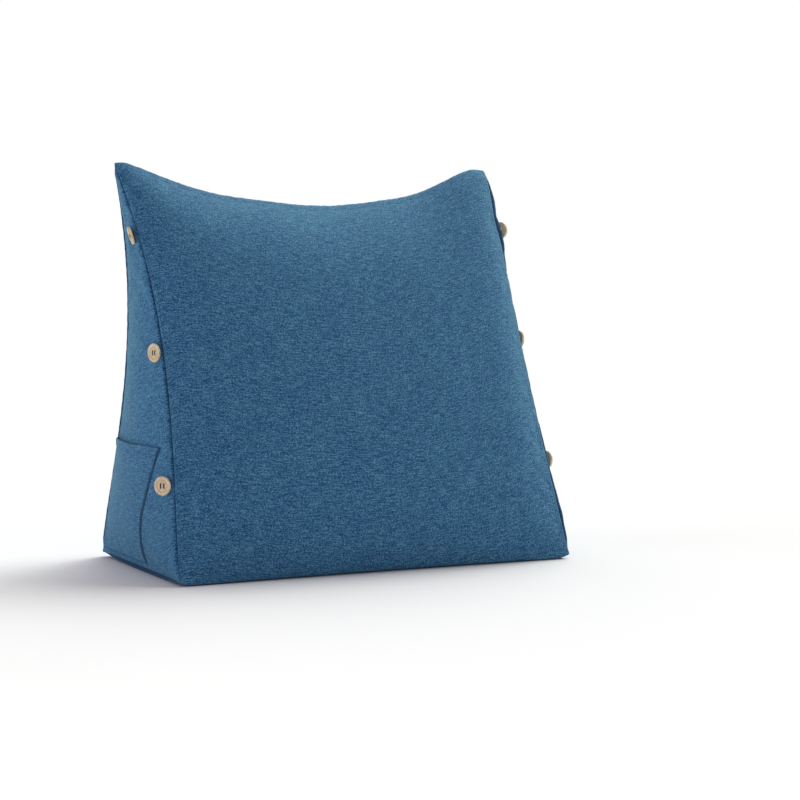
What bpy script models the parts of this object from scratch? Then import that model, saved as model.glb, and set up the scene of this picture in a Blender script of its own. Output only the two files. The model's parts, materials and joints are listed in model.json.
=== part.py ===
"""Wedge back cushion: one stuffed five-panel body, a side patch pocket and six wooden buttons.

Metres, +Z up. The front panel faces -Y and the base rests on z = 0.
"""
import math

import bpy
import numpy as np
from mathutils import Matrix, Vector
from mathutils.bvhtree import BVHTree
from mathutils.geometry import delaunay_2d_cdt

# Body, measured between seam corners before everything is shifted to the origin.
WIDTH = 0.550
BASE_DEPTH = 0.298
APEX_BACK = 0.239          # top corners, behind the front base seam
HEIGHT_LEFT = 0.521
HEIGHT_RIGHT = 0.524
CORNER_LIFT = 0.006        # base corners above the floor
SIDE_SEAM_LIFT = 0.0035    # extra lift of the side base seams at their middle
BASE_SEAM_DRAW = 0.007     # front and back base seams, drawn in at their middle
TOP_DRAW_FORWARD = 0.010   # top seam, pulled forward at its middle

# Upright seams: metres drawn in towards the middle and bowed forward, at the deepest point.
UPRIGHT_SEAMS = {
    "left_front": {"draw_in": 0.0200, "forward": 0.0190},
    "left_back": {"draw_in": 0.0225, "forward": 0.0150},
    "right_front": {"draw_in": 0.0190, "forward": 0.0300},
    "right_back": {"draw_in": 0.0225, "forward": 0.0180},
}
DRAW_SHAPE = (1.10, 1.40)      # exponents from the top ear and from the base corner
FORWARD_SHAPE = (0.73, 1.35)

# Top seam: share of the width from the left ear, and metres it sags below the ears.
TOP_SAG = [
    {"share": 0.000, "sag": 0.0000},
    {"share": 0.050, "sag": 0.0020},
    {"share": 0.125, "sag": 0.0172},
    {"share": 0.216, "sag": 0.0355},
    {"share": 0.360, "sag": 0.0452},
    {"share": 0.530, "sag": 0.0512},
    {"share": 0.675, "sag": 0.0454},
    {"share": 0.790, "sag": 0.0352},
    {"share": 0.876, "sag": 0.0194},
    {"share": 0.928, "sag": 0.0040},
    {"share": 1.000, "sag": 0.0000},
]

# Crown of the filling: height in metres and the exponents with which it falls off to each edge
# (first is the left seam of a wide panel and the front seam of a side panel, last the other one).
CROWNS = {
    "front": {"height": 0.056, "first": 0.62, "last": 0.62, "top": 0.62, "bottom": 0.50},
    "back": {"height": 0.042, "first": 0.62, "last": 0.62, "top": 0.66, "bottom": 0.50},
    "side": {"height": 0.017, "first": 0.78, "last": 0.95, "top": 1.60, "bottom": 0.60},
}
BASE_FLAT_SHARE = 0.22     # smaller brings the flat resting area nearer to the base seams

CELLS_WIDTH = 30
CELLS_HEIGHT = 30
CELLS_DEPTH = 14

# Pocket on the left side panel. Shares: 0 at the front seam or the top ear, 1 at the back seam or base.
POCKET_THICK = 0.0020
POCKET_GAP = 0.0008
POCKET_GAPE = 0.0035       # how far the mouth hangs open near the back seam
POCKET_BACK_SHARE = 0.975
POCKET_BOTTOM_SHARE = 0.985
POCKET_MOUTH = 0.697       # share of the way down at which the pocket opens
POCKET_FRONT_EDGE = [
    {"down": 0.00, "share": 0.103},
    {"down": 0.20, "share": 0.190},
    {"down": 0.40, "share": 0.262},
    {"down": 0.60, "share": 0.334},
    {"down": 0.80, "share": 0.372},
    {"down": 1.00, "share": 0.382},
]
POCKET_CELLS_ACROSS = 12
POCKET_CELLS_DOWN = 12

# Buttons: side (-1 left, 1 right), share of the way down the front seam, metres behind that seam,
# degrees the face is turned to the front.
BUTTONS = [
    {"side": -1, "down": 0.182, "behind": 0.0080, "turn": -8.0},
    {"side": -1, "down": 0.469, "behind": 0.0101, "turn": 18.0},
    {"side": -1, "down": 0.783, "behind": 0.0150, "turn": 36.0},
    {"side": 1, "down": 0.165, "behind": 0.0080, "turn": -20.0},
    {"side": 1, "down": 0.455, "behind": 0.0222, "turn": 0.0},
    {"side": 1, "down": 0.768, "behind": 0.0224, "turn": -5.0},
]
BUTTON_CLEARANCE = 0.0006
BUTTON_SIDES = 28
# Lathe profile from the flat back's edge over the rim to the dish floor's edge.
BUTTON_PROFILE = [
    {"radius": 0.0107, "height": 0.0000},
    {"radius": 0.0116, "height": 0.0006},
    {"radius": 0.0120, "height": 0.0017},
    {"radius": 0.0118, "height": 0.0028},
    {"radius": 0.0110, "height": 0.0035},
    {"radius": 0.0097, "height": 0.0035},
    {"radius": 0.0085, "height": 0.0028},
    {"radius": 0.0073, "height": 0.0024},
]
HOLE_SPACING = 0.0048
HOLE_RADIUS = 0.0012
HOLE_SIDES = 8

CLOTH = {"name": "cloth_blue", "color": (0.060, 0.160, 0.290), "roughness": 0.92}
WOOD = {"name": "button_wood", "color": (0.590, 0.430, 0.270), "roughness": 0.55}


def clear_scene():
    for obj in list(bpy.data.objects):
        bpy.data.objects.remove(obj, do_unlink=True)


def hump(t, first, last):
    """t**first * (1 - t)**last, scaled so that its highest value is 1."""
    t = np.clip(t, 0.0, 1.0)
    top = first / (first + last)
    return t ** first * (1.0 - t) ** last / (top ** first * (1.0 - top) ** last)


def through_table(rows, key, value, at):
    """Smooth curve through a table: cubic pieces whose slopes come from the neighbouring rows."""
    x = np.array([row[key] for row in rows])
    y = np.array([row[value] for row in rows])
    slope = np.gradient(y, x)
    i = np.clip(np.searchsorted(x, at, side="right") - 1, 0, len(x) - 2)
    step = x[i + 1] - x[i]
    s = (at - x[i]) / step
    return ((2 * s ** 3 - 3 * s ** 2 + 1) * y[i] + (s ** 3 - 2 * s ** 2 + s) * step * slope[i]
            + (3 * s ** 2 - 2 * s ** 3) * y[i + 1] + (s ** 3 - s ** 2) * step * slope[i + 1])


def corner(side, where):
    """Seam corner: side -1 left or 1 right; where is top, front or back."""
    x = side * WIDTH / 2
    if where == "top":
        return np.array([x, APEX_BACK, HEIGHT_LEFT if side < 0 else HEIGHT_RIGHT])
    return np.array([x, 0.0 if where == "front" else BASE_DEPTH, CORNER_LIFT])


def upright_seam(side, where, t):
    """Front or back seam of one side, from the top ear (t = 0) to the base corner (t = 1)."""
    bow = UPRIGHT_SEAMS[("left_" if side < 0 else "right_") + where]
    t = np.asarray(t, dtype=float)
    line = corner(side, "top") + (corner(side, where) - corner(side, "top")) * t[..., None]
    line[..., 0] -= side * bow["draw_in"] * hump(t, *DRAW_SHAPE)
    line[..., 1] -= bow["forward"] * hump(t, *FORWARD_SHAPE)
    return line


def cross_seam(where, s):
    """Top, front base or back base seam, from left (s = 0) to right (s = 1)."""
    s = np.asarray(s, dtype=float)
    line = corner(-1, where) + (corner(1, where) - corner(-1, where)) * s[..., None]
    mid = 4.0 * s * (1.0 - s)
    if where == "top":
        line[..., 2] -= through_table(TOP_SAG, "share", "sag", s)
        line[..., 1] -= TOP_DRAW_FORWARD * mid
    else:
        line[..., 1] += (1.0 if where == "front" else -1.0) * BASE_SEAM_DRAW * mid
    return line


def side_base_seam(side, u):
    """Base seam of one side panel, from the front corner (u = 0) to the back corner (u = 1)."""
    u = np.asarray(u, dtype=float)
    line = corner(side, "front") + (corner(side, "back") - corner(side, "front")) * u[..., None]
    mid = 4.0 * u * (1.0 - u)
    line[..., 0] -= side * 0.5 * BASE_SEAM_DRAW * mid
    line[..., 2] += SIDE_SEAM_LIFT * mid
    return line


def coons(top, bottom, left, right, s, t):
    """Surface that joins four edge curves, given at the grid values s (across) and t (down)."""
    s, t = s[..., None], t[..., None]
    ruled = (1 - t) * top + t * bottom + (1 - s) * left + s * right
    corners = ((1 - s) * (1 - t) * top[:1, :1] + s * (1 - t) * top[:1, -1:]
               + (1 - s) * t * bottom[:1, :1] + s * t * bottom[:1, -1:])
    return ruled - corners


def wide_panel(where, s, t):
    """Front or back panel with its crown, over the grid s (left to right) and t (top to base)."""
    surface = coons(cross_seam("top", s[:1]), cross_seam(where, s[:1]),
                    upright_seam(-1, where, t[:, :1]), upright_seam(1, where, t[:, :1]), s, t)
    crown = CROWNS[where]
    run = corner(1, "top") - corner(-1, "top")
    fall = corner(-1, where) - corner(-1, "top")
    out = np.cross(fall, run) if where == "front" else np.cross(run, fall)
    out = out / np.linalg.norm(out)
    lift = hump(s, crown["first"], crown["last"]) * hump(t, crown["top"], crown["bottom"])
    return surface + (crown["height"] * lift)[..., None] * out


def side_panel(side, u, t):
    """Triangular side panel with its crown, over u (front to back seam) and t (ear to base)."""
    u, t = np.asarray(u, dtype=float), np.asarray(t, dtype=float)
    front, back = upright_seam(side, "front", t), upright_seam(side, "back", t)
    surface = front + (back - front) * u[..., None]
    foot_line = corner(side, "front") + (corner(side, "back") - corner(side, "front")) * u[..., None]
    surface = surface + (side_base_seam(side, u) - foot_line) * (t ** 4)[..., None]
    crown = CROWNS["side"]
    lift = hump(u, crown["first"], crown["last"]) * hump(t, crown["top"], crown["bottom"])
    surface[..., 0] += side * crown["height"] * lift
    return surface


def base_panel(s, u):
    """Base, left to right (s) and front to back (u), sinking from its seams to a flat rest."""
    surface = coons(cross_seam("front", s[:1]), cross_seam("back", s[:1]),
                    side_base_seam(-1, u[:, :1]), side_base_seam(1, u[:, :1]), s, u)
    inside = np.clip(16 * s * (1 - s) * u * (1 - u) / BASE_FLAT_SHARE, 0.0, 1.0)
    surface[..., 2] *= (1 - inside ** 0.6) ** 1.5
    return surface


def spaced(cells):
    """Grid values from 0 to 1, closer together towards both ends."""
    even = np.linspace(0.0, 1.0, cells + 1)
    return 0.45 * even + 0.55 * (0.5 - 0.5 * np.cos(math.pi * even))


def add_grid(verts, faces, grid, outward):
    """Append one panel's grid of points and its quads, wound so that they face outward."""
    rows, cols = grid.shape[:2]
    first = len(verts)
    verts.extend(grid.reshape(-1, 3).tolist())
    mid_r, mid_c = rows // 2, cols // 2
    across = grid[mid_r, mid_c + 1] - grid[mid_r, mid_c]
    down = grid[mid_r + 1, mid_c] - grid[mid_r, mid_c]
    flip = np.dot(np.cross(across, down), outward) < 0
    for r in range(rows - 1):
        for c in range(cols - 1):
            a = first + r * cols + c
            quad = [a, a + 1, a + cols + 1, a + cols]
            faces.append(quad[::-1] if flip else quad)


def welded(verts, faces, distance=1e-6):
    """Merge points that coincide and drop the corners and faces that collapse."""
    index, kept, new_of = {}, [], []
    for point in verts:
        key = tuple(round(value / distance) for value in point)
        if key not in index:
            index[key] = len(kept)
            kept.append(point)
        new_of.append(index[key])
    clean = []
    for face in faces:
        ring = [new_of[i] for i in face]
        ring = [v for k, v in enumerate(ring) if v != ring[k - 1]]
        if len(ring) >= 3:
            clean.append(ring)
    return kept, clean


def triangulated(verts, faces):
    """Split each quad along its shorter diagonal."""
    tris = []
    for face in faces:
        if len(face) == 3:
            tris.append(face)
            continue
        a, b, c, d = (Vector(verts[i]) for i in face)
        i, j, k, m = face
        if (a - c).length <= (b - d).length:
            tris += [[i, j, k], [i, k, m]]
        else:
            tris += [[i, j, m], [j, k, m]]
    return tris


def body_mesh():
    verts, faces = [], []
    across, down, deep = spaced(CELLS_WIDTH), spaced(CELLS_HEIGHT), spaced(CELLS_DEPTH)
    s, t = np.meshgrid(across, down)
    add_grid(verts, faces, wide_panel("front", s, t), (0, -1, 0.4))
    add_grid(verts, faces, wide_panel("back", s, t), (0, 1, 0.1))
    s, u = np.meshgrid(across, deep)
    add_grid(verts, faces, base_panel(s, u), (0, 0, -1))
    u, t = np.meshgrid(deep, down)
    for side in (-1, 1):
        add_grid(verts, faces, side_panel(side, u, t), (side, 0, 0))
    verts, faces = welded(verts, faces)
    return verts, triangulated(verts, faces)


def panel_normal(side, u, t, step=0.004):
    """Outward unit normals of a side panel, from small steps over its surface."""
    along_u = side_panel(side, np.clip(u + step, 0, 1), t) - side_panel(side, np.clip(u - step, 0, 1), t)
    along_t = side_panel(side, u, np.clip(t + step, 0, 1)) - side_panel(side, u, np.clip(t - step, 0, 1))
    normal = np.cross(along_u, along_t)
    normal = normal / np.linalg.norm(normal, axis=-1, keepdims=True)
    return normal * np.sign(normal[..., :1] * side)


def pocket_mesh():
    """Patch pocket: two offset copies of the left side panel's surface, joined round the edge."""
    p, q = np.meshgrid(np.linspace(0, 1, POCKET_CELLS_ACROSS + 1),
                       np.linspace(0, 1, POCKET_CELLS_DOWN + 1))
    front = through_table(POCKET_FRONT_EDGE, "down", "share", q)
    u = front + (POCKET_BACK_SHARE - front) * p
    t = POCKET_MOUTH + (POCKET_BOTTOM_SHARE - POCKET_MOUTH) * q
    surface = side_panel(-1, u, t)
    normal = panel_normal(-1, u, t)
    gap = POCKET_GAP + POCKET_GAPE * hump(p, 2.0, 0.8) * (1 - q) ** 3
    inner = surface + normal * gap[..., None]
    outer = inner + normal * POCKET_THICK
    rows, cols = p.shape
    verts = inner.reshape(-1, 3).tolist() + outer.reshape(-1, 3).tolist()
    n = rows * cols
    faces = []
    for r in range(rows - 1):
        for c in range(cols - 1):
            a = r * cols + c
            quad = [a, a + 1, a + cols + 1, a + cols]
            faces.append(quad)
            faces.append([i + n for i in quad[::-1]])
    rim = ([c for c in range(cols)] + [r * cols + cols - 1 for r in range(1, rows)]
           + [(rows - 1) * cols + c for c in range(cols - 2, -1, -1)]
           + [r * cols for r in range(rows - 2, 0, -1)])
    for k, a in enumerate(rim):
        b = rim[(k + 1) % len(rim)]
        faces.append([b, a, a + n, b + n])
    return verts, outward_tris(verts, triangulated(verts, faces))


def outward_tris(verts, tris):
    """Reverse all triangles if the closed surface they form has a negative volume."""
    points = np.array(verts)
    a, b, c = (points[[tri[k] for tri in tris]] for k in range(3))
    volume = np.einsum("ij,ij->i", a, np.cross(b, c)).sum()
    return [tri[::-1] for tri in tris] if volume < 0 else tris


def ring_points(radius, count, centre=(0.0, 0.0)):
    turn = 2 * math.pi * np.arange(count) / count
    return [Vector((centre[0] + radius * math.cos(a), centre[1] + radius * math.sin(a))) for a in turn]


def pierced_disc(radius):
    """Flat disc outline with the four thread holes, as 2-D points and triangles."""
    centres = [(i * HOLE_SPACING / 2, j * HOLE_SPACING / 2) for i in (-1, 1) for j in (-1, 1)]
    points = ring_points(radius, BUTTON_SIDES)
    for centre in centres:
        points += ring_points(HOLE_RADIUS, HOLE_SIDES, centre)
    edges = [(k, (k + 1) % BUTTON_SIDES) for k in range(BUTTON_SIDES)]
    for h in range(len(centres)):
        first = BUTTON_SIDES + h * HOLE_SIDES
        edges += [(first + k, first + (k + 1) % HOLE_SIDES) for k in range(HOLE_SIDES)]
    flat, _, tris, _, _, _ = delaunay_2d_cdt(points, edges, [], 0, 1e-9)
    kept = []
    for tri in tris:
        middle = (flat[tri[0]] + flat[tri[1]] + flat[tri[2]]) / 3
        if all((middle - Vector(c)).length > HOLE_RADIUS * 0.9 for c in centres):
            kept.append(list(tri))
    return points, kept


def button_mesh():
    """Turned button with a raised rim, a dished face and four through holes; its back is at z = 0."""
    rings = len(BUTTON_PROFILE)
    verts, faces = [], []
    for row in BUTTON_PROFILE:
        verts += [(p.x, p.y, row["height"]) for p in ring_points(row["radius"], BUTTON_SIDES)]
    for r in range(rings - 1):
        for k in range(BUTTON_SIDES):
            a, b = r * BUTTON_SIDES + k, r * BUTTON_SIDES + (k + 1) % BUTTON_SIDES
            faces.append([a, b, b + BUTTON_SIDES, a + BUTTON_SIDES])
    hole_starts = []
    for ring, flip in ((0, True), (rings - 1, False)):
        points, tris = pierced_disc(BUTTON_PROFILE[ring]["radius"])
        level = BUTTON_PROFILE[ring]["height"]
        first = len(verts)
        hole_starts.append(first)
        verts += [(p.x, p.y, level) for p in points[BUTTON_SIDES:]]
        for tri in tris:
            ids = [ring * BUTTON_SIDES + i if i < BUTTON_SIDES else first + i - BUTTON_SIDES for i in tri]
            up = (points[tri[1]] - points[tri[0]]).cross(points[tri[2]] - points[tri[0]]) > 0
            faces.append(ids[::-1] if up == flip else ids)
    low, high = hole_starts
    for h in range(4):
        for k in range(HOLE_SIDES):
            a, b = h * HOLE_SIDES + k, h * HOLE_SIDES + (k + 1) % HOLE_SIDES
            faces.append([low + b, low + a, high + a, high + b])
    return verts, outward_tris(verts, triangulated(verts, faces))


def button_frame(row):
    """Turn of one button: local z faces out, local y points up along the front seam."""
    side, turn = row["side"], math.radians(row["turn"])
    out = Vector((side * math.cos(turn), -math.sin(turn), 0.0))
    seam = upright_seam(side, "front", np.array([row["down"] - 0.02, row["down"] + 0.02]))
    up = Vector(seam[0] - seam[1])
    up = (up - up.dot(out) * out).normalized()
    across = up.cross(out)
    return Matrix((across, up, out)).transposed()


def placed_button(row, verts, body_tree):
    """Stand one button on its side panel and move it out until it clears the body."""
    t = np.array(row["down"])
    width = np.linalg.norm(upright_seam(row["side"], "back", t) - upright_seam(row["side"], "front", t))
    centre = Vector(side_panel(row["side"], np.array(row["behind"] / width), t))
    turn = button_frame(row)
    out = turn.col[2]
    local = [turn @ Vector(v) for v in verts]
    offset = 0.0
    for _ in range(200):
        short = 0.0
        for v in local:
            point = centre + out * offset + v
            near, normal, _, distance = body_tree.find_nearest(point)
            signed = distance if (point - near).dot(normal) >= 0 else -distance
            short = max(short, BUTTON_CLEARANCE - signed)
        if short <= 0:
            break
        offset += max(short * 0.5, 0.00002)
    return [tuple(centre + out * offset + v) for v in local]


def material(look):
    mat = bpy.data.materials.new(look["name"])
    mat.use_nodes = True
    shader = mat.node_tree.nodes["Principled BSDF"]
    shader.inputs["Base Color"].default_value = (*look["color"], 1.0)
    shader.inputs["Roughness"].default_value = look["roughness"]
    return mat


def add_object(name, verts, faces, look):
    mesh = bpy.data.meshes.new(name)
    mesh.from_pydata([tuple(v) for v in verts], [], [tuple(f) for f in faces])
    mesh.materials.append(material({**look, "name": f"{look['name']}_{name}"}))
    mesh.update()
    obj = bpy.data.objects.new(name, mesh)
    bpy.context.scene.collection.objects.link(obj)
    return obj


def main():
    clear_scene()
    body_verts, body_tris = body_mesh()
    body_tris = outward_tris(body_verts, body_tris)
    tree = BVHTree.FromPolygons([Vector(v) for v in body_verts], body_tris)
    pieces = [("cushion", body_verts, body_tris, CLOTH), ("side_pocket", *pocket_mesh(), CLOTH)]
    button_verts, button_tris = button_mesh()
    for number, row in enumerate(BUTTONS, start=1):
        pieces.append((f"button_{number}", placed_button(row, button_verts, tree), button_tris, WOOD))
    everything = np.concatenate([np.array(verts) for _, verts, _, _ in pieces])
    low, high = everything.min(axis=0), everything.max(axis=0)
    shift = np.array([-(low[0] + high[0]) / 2, -(low[1] + high[1]) / 2, -low[2]])
    for name, verts, faces, look in pieces:
        add_object(name, np.array(verts) + shift, faces, look)
    print("part shift", [round(float(v), 5) for v in shift])


main()
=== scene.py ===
import json
import math

import bpy
import numpy as np
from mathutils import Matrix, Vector

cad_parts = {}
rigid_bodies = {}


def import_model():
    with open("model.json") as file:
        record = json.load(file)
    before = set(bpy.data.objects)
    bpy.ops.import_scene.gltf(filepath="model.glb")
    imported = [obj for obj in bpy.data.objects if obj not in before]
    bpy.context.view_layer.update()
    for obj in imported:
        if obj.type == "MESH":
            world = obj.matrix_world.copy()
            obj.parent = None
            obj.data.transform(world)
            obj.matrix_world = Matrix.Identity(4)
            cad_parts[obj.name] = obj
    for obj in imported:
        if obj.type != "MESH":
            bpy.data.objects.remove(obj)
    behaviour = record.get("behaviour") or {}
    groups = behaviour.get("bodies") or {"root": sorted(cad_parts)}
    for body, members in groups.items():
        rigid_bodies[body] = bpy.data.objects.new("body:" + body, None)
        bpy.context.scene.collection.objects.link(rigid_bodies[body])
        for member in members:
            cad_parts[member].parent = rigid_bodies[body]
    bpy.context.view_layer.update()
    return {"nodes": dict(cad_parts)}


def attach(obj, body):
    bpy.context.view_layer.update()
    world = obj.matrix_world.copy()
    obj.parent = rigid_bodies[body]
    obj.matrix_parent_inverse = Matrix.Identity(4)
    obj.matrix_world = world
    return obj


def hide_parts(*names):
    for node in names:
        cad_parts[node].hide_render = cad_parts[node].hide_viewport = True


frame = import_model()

print("frame loaded:", ", ".join(sorted(frame["nodes"])))


def linearColor(hexCode):  # sRGB hex to linear RGBA
    srgb = [int(hexCode[i:i + 2], 16) / 255 for i in (1, 3, 5)]
    return [c / 12.92 if c <= 0.04045 else ((c + 0.055) / 1.055) ** 2.4 for c in srgb] + [1.0]


def smoothStep(x, low, high):  # 0 below low, 1 above high, an S curve between them
    t = np.clip((x - low) / (high - low), 0.0, 1.0)
    return t * t * (3 - 2 * t)


def hump(t, first, last):  # t^first * (1-t)^last, scaled so that its highest value is 1
    t = np.clip(t, 0.0, 1.0)
    top = first / (first + last)
    return t ** first * (1 - t) ** last / (top ** first * (1 - top) ** last)


def throughTable(rows, at):  # cubic pieces through the rows' pairs, slopes from the neighbouring rows
    x, y = np.array(rows).T
    slope = np.gradient(y, x)
    i = np.clip(np.searchsorted(x, at, side="right") - 1, 0, len(x) - 2)
    step = x[i + 1] - x[i]
    s = (at - x[i]) / step
    return ((2 * s ** 3 - 3 * s ** 2 + 1) * y[i] + (s ** 3 - 2 * s ** 2 + s) * step * slope[i]
            + (3 * s ** 2 - 2 * s ** 3) * y[i + 1] + (s ** 3 - s ** 2) * step * slope[i + 1])


def unit(vectors):  # each vector divided by its length
    return vectors / np.maximum(np.linalg.norm(vectors, axis=-1, keepdims=True), 1e-12)


def gridNormals(grid, outward):  # cross product of the grid's two directions, turned to face outward
    normals = unit(np.cross(np.gradient(grid, axis=1), np.gradient(grid, axis=0)))
    return normals * np.sign((normals * np.array(outward)).sum(-1).mean())


def runLength(grid, axis):  # distance travelled over the grid along one axis, from its first line
    steps = np.linalg.norm(np.diff(grid, axis=axis), axis=-1)
    zero = np.zeros_like(np.take(steps, [0], axis=axis))
    return np.concatenate([zero, np.cumsum(steps, axis=axis)], axis=axis)


def catmullRom(f):  # weights of the four samples round a place that is the share f past the second
    return [(-f + 2 * f ** 2 - f ** 3) / 2, (2 - 5 * f ** 2 + 3 * f ** 3) / 2,
            (f + 4 * f ** 2 - 3 * f ** 3) / 2, (-f ** 2 + f ** 3) / 2]


def readGrid(grid, column, row):  # smooth reading at fractional column and row numbers
    rows, cols = grid.shape[:2]
    i = np.clip(np.floor(row).astype(int), 0, rows - 2)
    j = np.clip(np.floor(column).astype(int), 0, cols - 2)
    total = 0.0
    for a, down in enumerate(catmullRom(row - i)):
        for b, across in enumerate(catmullRom(column - j)):
            at = grid[np.clip(i + a - 1, 0, rows - 1), np.clip(j + b - 1, 0, cols - 1)]
            total = total + (down * across)[..., None] * at
    return total


def gridQuads(rows, cols, flip=False, first=0, closed=False):  # corner numbers, the columns may close up
    wide = cols if closed else cols - 1
    r, c = np.meshgrid(np.arange(rows - 1), np.arange(wide), indexing="ij")
    a, b = r * cols + c, r * cols + (c + 1) % cols
    quads = np.stack([a, b, b + cols, a + cols], axis=-1).reshape(-1, 4) + first
    return quads[:, ::-1] if flip else quads


def makeObject(name, points, quads, uv=None, attributes=None):
    # Points closer than a micrometre become one, and a quad with one side of no length a triangle.
    # uv and the attributes hold one value per point before that.
    points = np.asarray(points, float)
    _, kept, place = np.unique(np.round(points / 1e-6).astype(np.int64), axis=0,
                               return_index=True, return_inverse=True)
    place = place.ravel()
    joined = place[quads]
    same = joined == np.roll(joined, -1, axis=1)
    sides = 4 - same.sum(axis=1)
    polygons, corners = [], []
    for missing in [None, 0, 1, 2, 3]:
        pick = sides == 4 if missing is None else (sides == 3) & same[:, missing]
        columns = [k for k in range(4) if k != missing]
        polygons += joined[pick][:, columns].tolist()
        corners.append(quads[pick][:, columns].ravel())
    mesh = bpy.data.meshes.new(name)
    mesh.from_pydata(points[kept].tolist(), [], polygons)
    if uv is not None:
        layer = mesh.uv_layers.new(name="clothMetres")
        layer.data.foreach_set("uv", np.asarray(uv, np.float32)[np.concatenate(corners)].ravel())
    for key, values in (attributes or {}).items():
        layer = mesh.attributes.new(key, "FLOAT", "POINT")
        layer.data.foreach_set("value", np.asarray(values, np.float32)[kept])
    mesh.polygons.foreach_set("use_smooth", [True] * len(mesh.polygons))
    mesh.update()
    obj = bpy.data.objects.new(name, mesh)
    bpy.context.scene.collection.objects.link(obj)
    return obj, place


photoCamera = {
    "place": (-1.1011, -2.4201, 0.3830),
    "turn": 26.38,          # degrees from straight ahead
    "tilt": 3.71,           # degrees downward
    "lens": 90.0,           # mm on a 36 mm sensor
}


def makeCamera():
    camera = bpy.data.cameras.new("photoCamera")
    camera.lens, camera.sensor_width = photoCamera["lens"], 36.0
    camera.clip_start, camera.clip_end = 0.05, 60.0
    obj = bpy.data.objects.new("photoCamera", camera)
    obj.location = photoCamera["place"]
    obj.rotation_euler = (math.radians(90 - photoCamera["tilt"]), 0, -math.radians(photoCamera["turn"]))
    bpy.context.scene.collection.objects.link(obj)
    bpy.context.scene.camera = obj


def addNode(tree, kind, settings=None, inputs=None):  # one node with its settings, values and links
    node = tree.nodes.new(kind)
    for key, value in (settings or {}).items():
        setattr(node, key, value)
    for key, value in (inputs or {}).items():
        if isinstance(value, bpy.types.NodeSocket):
            tree.links.new(value, node.inputs[key])
        else:
            node.inputs[key].default_value = value
    return node


studio = {
    "roomLight": 0.34,      # light of the pale room, 1 is white
    "roomColor": "#FFFAFE",
    "floorColor": "#F2EDED",
    "lights": {             # where it comes from, spread in degrees, strength, colour
        "highBackLight": ((0.3, 1.8, 1.93), 50, 0.60, "#FFFCF4"),
        "rightBackLight": ((1.4, 1.4, 1.93), 40, 1.20, "#F4FFFB"),
        "highRightLight": ((1.8, 0.4, 1.93), 40, 1.82, "#F6FFFB"),
        "leftLight": ((-2.6, 0.5, 0.73), 50, 0.71, "#CCE0FF"),
    },
}


def makeStudio():
    world = bpy.data.worlds.new("paleStudio")
    world.use_nodes = True
    tree = world.node_tree
    room = tree.nodes["Background"]
    room.inputs["Color"].default_value = linearColor(studio["roomColor"])
    room.inputs["Strength"].default_value = studio["roomLight"]
    backdrop = addNode(tree, "ShaderNodeBackground", {}, {"Color": (1, 1, 1, 1), "Strength": 1.0})
    seen = addNode(tree, "ShaderNodeLightPath").outputs["Is Camera Ray"]
    mixed = addNode(tree, "ShaderNodeMixShader", {}, {0: seen, 1: room.outputs[0], 2: backdrop.outputs[0]})
    tree.links.new(mixed.outputs[0], tree.nodes["World Output"].inputs["Surface"])
    bpy.context.scene.world = world
    bpy.context.scene.view_settings.view_transform = "Standard"
    for name, (source, spread, strength, color) in studio["lights"].items():
        light = bpy.data.lights.new(name, "SUN")
        light.angle, light.energy = math.radians(spread), strength
        light.color = linearColor(color)[:3]
        obj = bpy.data.objects.new(name, light)
        obj.location = source
        obj.rotation_mode = "QUATERNION"
        obj.rotation_quaternion = Vector(source).to_track_quat("Z", "Y")
        bpy.context.scene.collection.objects.link(obj)
    x, y = np.meshgrid(np.linspace(-15, 15, 7), np.linspace(-15, 15, 7))
    points = np.stack([x, y, np.full_like(x, -0.0002)], -1).reshape(-1, 3)
    floor, _ = makeObject("paleFloor", points, gridQuads(7, 7))
    floor.data.materials.append(paintedBoard())


def paintedBoard():  # matt white emulsion on board: pale, with no gloss to mirror the cushion
    material = bpy.data.materials.new("paintedBoard")
    material.use_nodes = True
    shader = material.node_tree.nodes["Principled BSDF"]
    shader.inputs["Base Color"].default_value = linearColor(studio["floorColor"])
    shader.inputs["Roughness"].default_value = 0.9
    shader.inputs["Specular IOR Level"].default_value = 0.1
    return material


linenCloth = {
    "shades": {0.28: "#1B4067", 0.50: "#396C96", 0.72: "#6E9BBB"},   # dark, middle and light yarn
    "tints": ("#F4F8FF", "#F0FFFA"),    # slow drift of the blue between two dye lots
    "grains": [                         # across and down in mm, detail, weight in the mix
        (15.0, 1.5, 1.0, 0.40),         # slubs of the weft, drawn about twice as coarse as the yarn
        (1.5, 8.0, 1.0, 0.13),          # slubs of the warp
        (2.0, 1.1, 0.0, 0.38),          # single light and dark yarns that come to the top
        (60.0, 26.0, 1.0, 0.05),        # clouds of paler and darker yarn
    ],
    "cells": (1.5, 1.05),               # mm, one crossing of the weave
    "cellWeight": 0.25,
    "ribPitch": 1.4,                    # mm between upright ribs
    "relief": 0.35,                     # mm
    # navy for the sewing lines' own colour and for painted shade in the seam grooves, under the cushion and
    # beside its seams
    "seamLineAndShadeColor": "#0C2450",
    "roughness": 0.93,
    "gloss": 0.15,
    "sheen": (0.40, 0.5, "#A4D8D9"),    # weight, roughness and colour of the fluff on the yarn
}


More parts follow.
